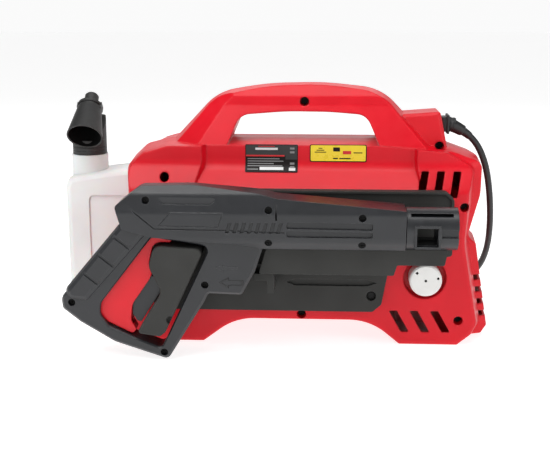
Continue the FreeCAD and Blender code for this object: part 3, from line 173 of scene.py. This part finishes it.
def add_block(mesh, xs, ys, zs, rounding):
    """Box with rounded edges, in part.py's millimetres."""
    low, high = at(xs[0], ys[0], zs[0]), at(xs[1], ys[1], zs[1])
    made = bmesh.ops.create_cube(mesh, size=1.0)
    for vertex in made["verts"]:
        vertex.co = Vector([low[k] + (vertex.co[k] + 0.5) * (high[k] - low[k]) for k in range(3)])
    edges = list({edge for vertex in made["verts"] for edge in vertex.link_edges})
    bmesh.ops.bevel(mesh, geom=edges, offset=rounding * MM, segments=3, affect="EDGES", profile=0.5)


def shade_smooth(thing, degrees):
    """Smooth shading, with edges sharper than the angle left sharp."""
    for polygon in thing.data.polygons:
        polygon.use_smooth = True
    thing.data.set_sharp_from_angle(angle=math.radians(degrees))


# --- materials ---

def link_noise(tree, scale, detail, rough=0.5):
    noise = tree.nodes.new("ShaderNodeTexNoise")
    noise.inputs["Scale"].default_value = scale
    noise.inputs["Detail"].default_value = detail
    noise.inputs["Roughness"].default_value = rough
    coord = tree.nodes.new("ShaderNodeTexCoord")
    tree.links.new(coord.outputs["Object"], noise.inputs["Vector"])
    return noise


def link_range(tree, source, low, high, new_low, new_high):
    """Source mapped from low..high to new_low..new_high, held within them."""
    spread = tree.nodes.new("ShaderNodeMapRange")
    for name, value in (("From Min", low), ("From Max", high), ("To Min", new_low), ("To Max", new_high)):
        spread.inputs[name].default_value = value
    tree.links.new(source, spread.inputs["Value"])
    return spread.outputs["Result"]


def link_mix(tree, share, first, second):
    """Colour between two colours or sockets; share is a socket."""
    mix = tree.nodes.new("ShaderNodeMix")
    mix.data_type = "RGBA"
    tree.links.new(share, mix.inputs["Factor"])
    for end, name in ((first, 6), (second, 7)):
        if isinstance(end, tuple):
            mix.inputs[name].default_value = (*end, 1.0)
        else:
            tree.links.new(end, mix.inputs[name])
    return mix.outputs[2]


def edge_mask(tree, rounded):
    """1 where the surface bends sharply, 0 on flat faces, broken up by noise."""
    geometry = tree.nodes.new("ShaderNodeNewGeometry")
    dot = tree.nodes.new("ShaderNodeVectorMath")
    dot.operation = "DOT_PRODUCT"
    tree.links.new(rounded, dot.inputs[0])
    tree.links.new(geometry.outputs["Normal"], dot.inputs[1])
    bent = link_range(tree, dot.outputs["Value"], 0.985, 0.86, 0.0, 1.0)
    patchy = link_range(tree, link_noise(tree, 260.0, 3.0).outputs["Fac"], 0.42, 0.62, 0.15, 1.0)
    both = tree.nodes.new("ShaderNodeMath")
    both.operation = "MULTIPLY"
    tree.links.new(bent, both.inputs[0])
    tree.links.new(patchy, both.inputs[1])
    return both.outputs["Value"]


def finish(name, dark, light, rough, metal=0.0, grain=(1400.0, 0.15), blotch=28.0,
           rounding=0.8, worn=None, bands=None, **sockets):
    """Moulded or metal surface: mottled tone and gloss, fine grain, rounded and slightly worn edges.

    grain is (scale, strength), bands is (direction, scale, distortion) of ridges with painted shade in their
    grooves, rounding is in millimetres.
    """
    material = bpy.data.materials.new(name)
    material.use_nodes = True
    tree = material.node_tree
    shader = tree.nodes["Principled BSDF"]
    shader.inputs["Metallic"].default_value = metal
    for socket, value in sockets.items():
        shader.inputs[socket.replace("_", " ")].default_value = value
    mottle = link_noise(tree, blotch, 4.0)
    tone = link_mix(tree, link_range(tree, mottle.outputs["Fac"], 0.3, 0.7, 0.0, 1.0), dark, light)
    bevel = tree.nodes.new("ShaderNodeBevel")
    bevel.samples = 4
    bevel.inputs["Radius"].default_value = rounding * MM
    gloss = link_range(tree, link_noise(tree, blotch * 4.0, 5.0, 0.65).outputs["Fac"], 0.3, 0.7, *rough)
    if worn:
        tone = link_mix(tree, edge_mask(tree, bevel.outputs["Normal"]), tone, worn)
    relief = link_noise(tree, grain[0], 3.0, 0.6).outputs["Fac"]
    if bands:
        wave = tree.nodes.new("ShaderNodeTexWave")
        wave.bands_direction = bands[0]
        wave.inputs["Scale"].default_value = bands[1]
        wave.inputs["Distortion"].default_value = bands[2]
        coord = tree.nodes.new("ShaderNodeTexCoord")
        tree.links.new(coord.outputs["Object"], wave.inputs["Vector"])
        relief = wave.outputs["Fac"]
        # painted shade: the bands' grooves are darkened towards a third of the dark tone
        shade = link_range(tree, relief, 0.0, 1.0, 0.55, 0.0)
        tone = link_mix(tree, shade, tone, tuple(0.35 * c for c in dark))
    bump = tree.nodes.new("ShaderNodeBump")
    bump.inputs["Strength"].default_value = grain[1]
    bump.inputs["Distance"].default_value = 0.2 * MM
    tree.links.new(relief, bump.inputs["Height"])
    tree.links.new(bevel.outputs["Normal"], bump.inputs["Normal"])
    tree.links.new(bump.outputs["Normal"], shader.inputs["Normal"])
    tree.links.new(tone, shader.inputs["Base Color"])
    tree.links.new(gloss, shader.inputs["Roughness"])
    return material


def make_finishes():
    """All finishes by slot name: darker and lighter tone, range of roughness, then the options."""
    made = {}

    def add(slot, *args, **kwargs):
        made[slot] = finish(slot, *args, **kwargs)

    add("housing_red", (0.60, 0.001, 0.010), (0.66, 0.002, 0.013), (0.32, 0.42), grain=(900.0, 0.08),
        rounding=2.6, worn=(0.72, 0.03, 0.04), Specular_IOR_Level=0.30)
    add("cradle_grey", (0.036, 0.036, 0.034), (0.044, 0.044, 0.042), (0.55, 0.68), grain=(700.0, 0.3),
        rounding=1.2, worn=(0.085, 0.086, 0.084), Specular_IOR_Level=0.15)
    add("gun_black", (0.010, 0.011, 0.013), (0.014, 0.015, 0.018), (0.34, 0.42), grain=(900.0, 0.05),
        rounding=0.8, worn=(0.07, 0.072, 0.076), Specular_IOR_Level=0.55)
    add("trigger_red", (0.60, 0.002, 0.010), (0.66, 0.003, 0.013), (0.32, 0.42), grain=(900.0, 0.10),
        rounding=1.6, worn=(0.70, 0.03, 0.04), Specular_IOR_Level=0.42)
    add("knob_white", (0.74, 0.74, 0.72), (0.82, 0.82, 0.80), (0.34, 0.46), grain=(900.0, 0.12), rounding=0.9,
        worn=(0.62, 0.60, 0.56))
    add("nozzle_black", (0.013, 0.013, 0.013), (0.022, 0.022, 0.021), (0.46, 0.60), grain=(700.0, 0.4),
        rounding=0.8, worn=(0.08, 0.08, 0.08))
    add("inner_black", (0.012, 0.012, 0.013), (0.020, 0.020, 0.021), (0.5, 0.65), grain=(700.0, 0.3))
    add("cord_black", (0.008, 0.008, 0.009), (0.014, 0.014, 0.015), (0.42, 0.55),
        grain=(1200.0, 0.25), rounding=0.5, worn=(0.05, 0.05, 0.052))
    # dark screws, darkened further to near-black as painted shade of their deep holes
    add("screw_steel", (0.006, 0.006, 0.006), (0.011, 0.011, 0.011), (0.45, 0.6), metal=0.2, rounding=0.3,
        Specular_IOR_Level=0.2)
    add("steel", (0.48, 0.48, 0.49), (0.60, 0.60, 0.61), (0.22, 0.38), metal=1.0,
        grain=(1600.0, 0.1), rounding=0.3)
    add("spring_steel", (0.34, 0.34, 0.36), (0.46, 0.46, 0.48), (0.25, 0.4), metal=1.0, rounding=0.2)
    add("laminated_steel", (0.26, 0.26, 0.27), (0.36, 0.36, 0.37), (0.4, 0.55), metal=1.0,
        grain=(900.0, 0.4), bands=("X", 320.0, 0.0))
    add("copper", (0.60, 0.20, 0.08), (0.74, 0.28, 0.12), (0.28, 0.42), metal=1.0,
        grain=(900.0, 0.6), bands=("DIAGONAL", 330.0, 0.6))
    add("brass", (0.56, 0.36, 0.11), (0.68, 0.46, 0.16), (0.24, 0.38), metal=1.0, rounding=0.4)
    add("cast_aluminium", (0.42, 0.43, 0.44), (0.54, 0.55, 0.56), (0.45, 0.62), metal=0.9, grain=(420.0, 0.8))
    add("carbon", (0.015, 0.015, 0.015), (0.03, 0.03, 0.03), (0.55, 0.7), grain=(1800.0, 0.5))
    add("white_plastic", (0.72, 0.72, 0.70), (0.80, 0.80, 0.78), (0.4, 0.5), rounding=0.4)
    add("bottle_white", (0.74, 0.735, 0.725), (0.80, 0.795, 0.785), (0.36, 0.50),
        grain=(420.0, 0.16), blotch=18.0, rounding=2.0, worn=(0.84, 0.835, 0.825),
        Subsurface_Weight=0.2, Subsurface_Scale=0.006, Specular_IOR_Level=0.3)
    add("label_black", (0.008, 0.006, 0.006), (0.012, 0.009, 0.009), (0.3, 0.4), rounding=0.2,
        Specular_IOR_Level=0.15)
    add("label_grey", (0.036, 0.038, 0.038), (0.048, 0.050, 0.050), (0.3, 0.4), rounding=0.2,
        Specular_IOR_Level=0.15)
    add("label_yellow", (0.80, 0.60, 0.012), (0.86, 0.66, 0.018), (0.24, 0.34), rounding=0.2)
    add("print_white", (0.62, 0.62, 0.62), (0.70, 0.70, 0.70), (0.4, 0.5), rounding=0.1)
    add("print_dim", (0.16, 0.16, 0.16), (0.22, 0.22, 0.22), (0.4, 0.5), rounding=0.1)
    add("print_red", (0.55, 0.012, 0.015), (0.62, 0.016, 0.02), (0.4, 0.5), rounding=0.1)
    # near-black finish for painted shade: the foam nozzle's mouth and the knob's sockets
    add("mouth_dark", (0.003, 0.003, 0.003), (0.005, 0.005, 0.005), (0.8, 0.9), grain=(700.0, 0.3),
        Specular_IOR_Level=0.1)
    add("pale_floor", (0.55, 0.55, 0.55), (0.575, 0.575, 0.575), (0.7, 0.8), grain=(40.0, 0.02), blotch=2.0,
        Emission_Color=(1.0, 1.0, 1.0, 1.0), Emission_Strength=0.82, Specular_IOR_Level=0.1)
    return made


def dress_nodes(finishes):
    """Every CAD node takes the finish of its own material slot."""
    for part in frame["record"]["subparts"]:
        node = frame["nodes"][part["node"]]
        for held in node.material_slots:
            held.material = finishes[part["material_slot"]]


# --- mains lead: route, coil, strain relief ---

CORD_D = 7.0
LEAD_Y = 112.5                           # where the lead joins the coil and leaves it
CORD_ROUTE = [
    (189.0, 0, 219.4), (197.2, 0, 215.5), (207.6, 0, 207.2), (216.3, 1.5, 195), (225, 6, 173),
    (231.5, 15, 138), (235.5, 32, 102), (237, 57, 70), (232, 82, 42), (216, 102, 22), (195, 112, 9),
    (171, LEAD_Y, 3.8), (148, LEAD_Y, 3.8)]
COIL_CENTRE = (95.0, 168.0)
TURN_RADII = (55.5, 48.4, 41.3, 34.2)
LAYER_HEIGHTS = (3.8, 10.9, 18.0, 25.1)
POINTS_PER_TURN = 16
STEP_POINTS = 5                          # the last points of a turn, over which it steps to the next one
LEAD_TO_PLUG = [(84, LEAD_Y, 25.1), (70, LEAD_Y, 23.6), (56, LEAD_Y, 20.2), (42, LEAD_Y, 16.0),
                (28, LEAD_Y, 13.6), (20, LEAD_Y, 13.2), (15, LEAD_Y, 13.2)]


def coil_points():
    """Control points of the wound turns: in and out in each layer, layer on layer."""
    spots = []
    for layer, height in enumerate(LAYER_HEIGHTS):
        radii = TURN_RADII if layer % 2 == 0 else TURN_RADII[::-1]
        spots += [(radius, height) for radius in radii]
    swell = 1.0 / math.cos(math.pi / POINTS_PER_TURN)
    points = []
    for turn, (radius, height) in enumerate(spots):
        next_radius, next_height = spots[min(turn + 1, len(spots) - 1)]
        for k in range(POINTS_PER_TURN):
            late = max(0.0, (k - POINTS_PER_TURN + STEP_POINTS + 0.5) / STEP_POINTS)
            share = late * late * (3.0 - 2.0 * late)
            angle = -math.pi / 2 - math.tau * (k + 0.5) / POINTS_PER_TURN
            reach = (radius + (next_radius - radius) * share) * swell
            points.append((COIL_CENTRE[0] + reach * math.cos(angle), COIL_CENTRE[1] + reach * math.sin(angle),
                           height + (next_height - height) * share))
    return points


def add_curve(name, points, radius, material):
    data = bpy.data.curves.new(name, "CURVE")
    data.dimensions = "3D"
    data.bevel_depth = radius * MM
    data.bevel_resolution = 5
    data.resolution_u = 6
    data.use_fill_caps = True
    spline = data.splines.new("NURBS")
    spline.points.add(len(points) - 1)
    for slot, point in zip(spline.points, points):
        slot.co = (*at(*point), 1.0)
    spline.order_u = 3
    spline.use_endpoint_u = True
    data.materials.append(material)
    curve = bpy.data.objects.new(name, data)
    bpy.context.scene.collection.objects.link(curve)
    return curve


def centreline(points):
    """Points along the route's own spline, metres."""
    bare = add_curve("bare_route", points, 0.0, None)
    bare.data.materials.clear()
    mesh = bpy.data.meshes.new_from_object(bare)
    line = [vertex.co.copy() for vertex in mesh.vertices]
    bpy.data.objects.remove(bare)
    bpy.data.meshes.remove(mesh)
    return line


def add_cord(finishes):
    """The whole lead as one curve, in place of the CAD lead and coil."""
    points = CORD_ROUTE + coil_points() + LEAD_TO_PLUG
    cord = add_curve("mains_cord", points, CORD_D / 2, finishes["cord_black"])
    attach(cord, "machine")
    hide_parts("power_cord", "cord_coil")


RELIEF_SIDES = 24
RELIEF_INSIDE = 16.0                     # how far the sleeve's line is drawn back into the cord box
# run along the lead from its exit, radius
RELIEF_PROFILE = [(-14.0, 7.2), (-8.0, 7.2), (-6.0, 8.4), (-4.0, 8.4), (-3.2, 6.8), (-1.4, 6.6), (4.0, 6.2),
                  (8.0, 5.9), (9.0, 5.4), (9.6, 4.6), (14.0, 4.3), (18.0, 4.0), (18.6, 3.7)]


def add_strain_relief(finishes):
    """Plain rubber sleeve that tapers along the first stretch of the lead, on its square grommet."""
    line = [p / MM for p in centreline(CORD_ROUTE)]
    along = (line[1] - line[0]).normalized()
    line = [line[0] - along * RELIEF_INSIDE] + line
    mesh = bmesh.new()
    rings = []
    for run, radius in RELIEF_PROFILE:
        place, heading = walk(line, run + RELIEF_INSIDE)
        turn = heading.to_track_quat("Z", "Y").to_matrix()
        rings.append([mesh.verts.new((place + turn @ Vector((u, v, 0.0))) * MM)
                      for u, v in circle(radius, RELIEF_SIDES)])
    skin(mesh, rings, True)
    add_block(mesh, (173.0, 181.5), (-7.9, 7.9), (215.1, 230.9), 1.2)
    add_block(mesh, (178.8, 181.5), (-10, 10), (213, 233), 0.9)
    relief = add_object("strain_relief_sleeve", mesh, finishes["cord_black"], "machine")
    shade_smooth(relief, 35)
    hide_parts("strain_relief")


# --- labels and marks ---

LABEL_WALL_Y = -42.0
WALL_BEND_R = 16.0
WALL_BEND_TOP = 191.4                    # below this height the wall bends forward, down to its slope
WALL_BEND_END = 179.2
SLOPE_STEEPNESS = 1.18
PRINT_STEP = 1.2                         # height of one strip of a plate that follows the wall
PRINT_DEPTH = 0.25                       # how far a plate reaches into the wall
BLACK_LABEL = (-30.6, 23.8, 177.7, 205.5)  # x low, x high, z low, z high
YELLOW_LABEL = (35.9, 94.4, 187.9, 205.8)


def wall_y(z):
    """The housing's front wall behind the labels: upright, then curving forward."""
    drop = WALL_BEND_TOP - max(z, WALL_BEND_END)
    if drop <= 0.0:
        return LABEL_WALL_Y
    slope = max(0.0, WALL_BEND_END - z) * SLOPE_STEEPNESS
    return LABEL_WALL_Y - WALL_BEND_R + math.sqrt(WALL_BEND_R ** 2 - drop ** 2) - slope


def add_print(name, patches, finish_name, finishes, lift, corner=0.0):
    """Thin patches (x low, x high, z low, z high) that follow the wall, joined in one piece."""
    mesh = bmesh.new()
    for low_x, high_x, low_z, high_z in patches:
        count = max(2, int((high_z - low_z) / PRINT_STEP) + 1)
        heights = [low_z + (high_z - low_z) * k / count for k in range(count + 1)]
        if corner:
            between = [h for h in heights if low_z + corner < h < high_z - corner]
            heights = [low_z, low_z + 0.3 * corner, low_z + corner] + between
            heights += [high_z - corner, high_z - 0.3 * corner, high_z]
        rings = []
        for z in heights:
            edge = min(z - low_z, high_z - z)
            cut = corner - math.sqrt(max(0.0, corner ** 2 - max(0.0, corner - edge) ** 2))
            y = wall_y(z)
            spots = ((low_x + cut, y - lift), (high_x - cut, y - lift),
                     (high_x - cut, y + PRINT_DEPTH), (low_x + cut, y + PRINT_DEPTH))
            rings.append([mesh.verts.new(at(x, place, z)) for x, place in spots])
        skin(mesh, rings, True)
    return add_object(name, mesh, finishes[finish_name], "machine")


def add_data_plate(finishes):
    """Dark data plate: bars stand in for its print."""
    left, right, low, high = BLACK_LABEL
    add_print("data_plate", [BLACK_LABEL], "label_black", finishes, 0.25, 1.2)
    add_print("data_plate_head", [(left + 0.8, left + 41.5, high - 11.5, high - 0.8),
                                  (left + 41.5, right - 0.8, high - 15.5, high - 0.8)],
              "label_grey", finishes, 0.32)
    rows = [(left + 2.4, left + 2.4 + length, high - drop - 0.9, high - drop)
            for drop, length in ((14.4, 33), (16.8, 37), (19.2, 27), (21.4, 36), (24.6, 11))]
    column = [(right - 8.2, right - 3.6, high - drop - 2.0, high - drop)
              for drop in (3.0, 7.0, 18.6, 22.2)]
    add_print("data_plate_rows", rows + column, "print_dim", finishes, 0.42)
    add_print("data_plate_print", [(left + 10.5, left + 33.5, high - 5.6, high - 3.4),
                                   (left + 15.0, left + 39.5, low + 2.1, low + 4.9),
                                   (right - 9.2, right - 2.6, low + 1.6, low + 4.2)],
              "print_white", finishes, 0.42)
    add_print("data_plate_line", [(left + 0.8, left + 40.5, high - 12.4, high - 10.9),
                                  (left + 13.5, left + 30.5, high - 2.2, high - 1.6)],
              "print_red", finishes, 0.45)


def add_advice_plate(finishes):
    """Yellow plate with a dark rim and plain marks."""
    left, right, low, high = YELLOW_LABEL
    add_print("advice_plate_rim", [YELLOW_LABEL], "label_black", finishes, 0.25, 1.6)
    add_print("advice_plate", [(left + 1.0, right - 1.0, low + 0.9, high - 0.7)],
              "label_yellow", finishes, 0.35, 1.2)
    marks = [(left + 5, left + 17, high - 8.2, high - 7.4), (left + 7, left + 15, high - 6.2, high - 5.4),
             (left + 9, left + 13, high - 4.2, high - 3.4), (left + 24, left + 31, high - 7.0, high - 2.8),
             (left + 45, left + 54, high - 8.8, high - 7.8), (left + 24, left + 29, low + 3.0, low + 4.2),
             (left + 30.5, left + 42, low + 3.0, low + 4.2)]
    add_print("advice_plate_marks", marks, "label_black", finishes, 0.45)
    add_print("advice_plate_sign", [(left + 34, left + 42.5, high - 9.8, high - 6.4)],
              "print_red", finishes, 0.45)


KNOB_X, KNOB_Z = 155.5, 72.0
# x and z from the knob's centre, radius, corners
KNOB_SOCKETS = [(-9.0, 8.0, 1.65, 4), (0.0, 0.0, 1.25, 16), (12.5, 2.6, 1.25, 16)]


def add_knob_socket_shade(finishes):
    """Near-black plugs in the knob's three small sockets: painted shade in the holes."""
    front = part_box("switch_knob")[0].y / MM - SHIFT.y
    mesh = bmesh.new()
    for x, z, radius, corners in KNOB_SOCKETS:
        rings = []
        for y, size in ((front + 2.4, radius), (front + 0.25, radius), (front + 0.1, radius - 0.25)):
            rings.append([mesh.verts.new(at(KNOB_X + x + u, y, KNOB_Z + z + v))
                          for u, v in circle(size, corners)])
        skin(mesh, rings, True)
    # painted shade: near-black plugs fill the sockets, which lie in shade
    marks = add_object("knob_socket_shade", mesh, finishes["mouth_dark"], "switch_knob")


# --- threaded ports ---

PORT_SIDES = 72
PORT_BACK_Y, PORT_END_Y = 46.0, 88.0
THREAD_Y = (72.6, 87.2)
THREAD_DEPTH = 1.0
THREAD_STEPS = 8                         # rings for each turn of the thread
INLET = (-100.0, 62.0, 13.2)             # x, z, outer radius of the thread
OUTLET = (-66.0, 62.0, 11.0)


def port_radius(profile_radius, threaded, y, share, pitch):
    """Radius at a share of a full turn; on the thread it dips to the groove's floor."""
    if not threaded:
        return profile_radius
    wave = abs(((y / pitch - share) % 1.0) * 2.0 - 1.0)
    return profile_radius - THREAD_DEPTH * min(1.0, max(0.0, wave * 1.5 - 0.25))


def add_port(name, node, port, bore, inner, pitch, finishes):
    """Turned nipple with a cut thread; its rings run out along the skin and back down the bore."""
    x, z, radius = port
    first, last = THREAD_Y
    rows = [(PORT_BACK_Y, radius - 0.9, False), (62.0, radius - 0.9, False), (62.2, radius + 0.9, False),
            (65.8, radius + 0.9, False), (66.0, radius - 1.1, False), (72.0, radius - 1.1, False)]
    steps = int((last - first) / pitch * THREAD_STEPS)
    rows += [(first + (last - first) * k / steps, radius, True) for k in range(steps + 1)]
    rows += [(PORT_END_Y, radius - 1.2, False), (PORT_END_Y, bore + 0.5, False), (87.4, bore, False)]
    rows += inner
    mesh = bmesh.new()
    rings = []
    for y, size, threaded in rows:
        ring = []
        for k in range(PORT_SIDES):
            angle = math.tau * k / PORT_SIDES
            reach = port_radius(size, threaded, y, k / PORT_SIDES, pitch)
            ring.append(mesh.verts.new(at(x + reach * math.cos(angle), y, z + reach * math.sin(angle))))
        rings.append(ring)
    skin(mesh, rings + [rings[0]], False)
    nipple = add_object(name, mesh, finishes["brass"], "machine")
    shade_smooth(nipple, 30)
    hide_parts(node)


def add_ports(finishes):
    add_port("inlet_nipple", "water_inlet", INLET, 9.5, [(PORT_BACK_Y, 9.5, False)], 1.81, finishes)
    add_port("outlet_nipple", "pressure_outlet", OUTLET, 7.0,
             [(70.0, 7.0, False), (69.9, 4.0, False), (PORT_BACK_Y, 4.0, False)], 1.5, finishes)


# --- spray gun's raised arrow ---

# x, and z from the barrel's axis
ARROW = [(-50.0, -54.0), (-41.0, -48.5), (-41.0, -51.3), (-26.0, -51.3), (-26.0, -56.7),
         (-41.0, -56.7), (-41.0, -59.5)]
ARROW_INNER = 0.78                       # size of the outline's inner edge against its outer one
ARROW_RISE, ARROW_ROOT = 0.4, 0.6        # out of the plate, and into it
GUN_Z = 136.0
GUN_PLATE_Y = -128.5


def add_arrow(finishes):
    """Raised outline of an arrow on the gun's side plate."""
    centre = Vector((sum(p[0] for p in ARROW) / len(ARROW), sum(p[1] for p in ARROW) / len(ARROW)))
    root, top = GUN_PLATE_Y + ARROW_ROOT, GUN_PLATE_Y - ARROW_RISE
    mesh = bmesh.new()
    rings = []
    for share, y in ((1.0, root), (1.0, top), (ARROW_INNER, top), (ARROW_INNER, root)):
        ring = []
        for point in ARROW:
            moved = centre + (Vector(point) - centre) * share
            ring.append(mesh.verts.new(at(moved.x, y, GUN_Z + moved.y)))
        rings.append(ring)
    skin(mesh, rings + [rings[0]], False)
    arrow = add_object("gun_arrow", mesh, finishes["inner_black"], "spray_gun")


# --- foam nozzle's mouth ---

MOUTH_PLACE = (-208.5, 2.0, 206.0)
MOUTH_SIDES = 48
NOZZLE_TILT = 43.0                       # below level, degrees
# depth from the mouth's rim, radius: inner skin, jet plate, outer skin
MOUTH_PROFILE = [(0.6, 17.65), (12, 15.55), (24, 13.45), (35.2, 11.5), (35.3, 9.0), (34.2, 6.0),
                 (34.2, 3.0), (35.9, 2.6), (35.9, 11.9), (24, 14.1), (12, 16.2), (0.6, 18.2)]


def add_mouth_painted_shade(finishes):
    """Near-black inner wall of the foam nozzle, closed by the jet plate at its bottom: painted shade in the
    hollow mouth.
    """
    tilt = math.radians(NOZZLE_TILT)
    turn = Vector((0, math.cos(tilt), math.sin(tilt))).to_track_quat("Z", "X").to_matrix()
    mesh = bmesh.new()
    rings = []
    for depth, radius in MOUTH_PROFILE:
        rings.append([mesh.verts.new(at(*(Vector(MOUTH_PLACE) + turn @ Vector((u, v, depth)))))
                      for u, v in circle(radius, MOUTH_SIDES)])
    skin(mesh, rings + [rings[0]], False)
    # painted shade: a near-black sheet lines the mouth's hollow, where shade falls
    painted_shade = add_object("foam_mouth_painted_shade", mesh, finishes["mouth_dark"], "foam_head")
    shade_smooth(painted_shade, 40)


add_camera()
add_studio()
finishes = make_finishes()
add_floor(finishes["pale_floor"])
add_cord(finishes)
add_strain_relief(finishes)
dress_nodes(finishes)
add_data_plate(finishes)
add_advice_plate(finishes)
add_knob_socket_shade(finishes)
add_ports(finishes)
add_mouth_painted_shade(finishes)
add_arrow(finishes)
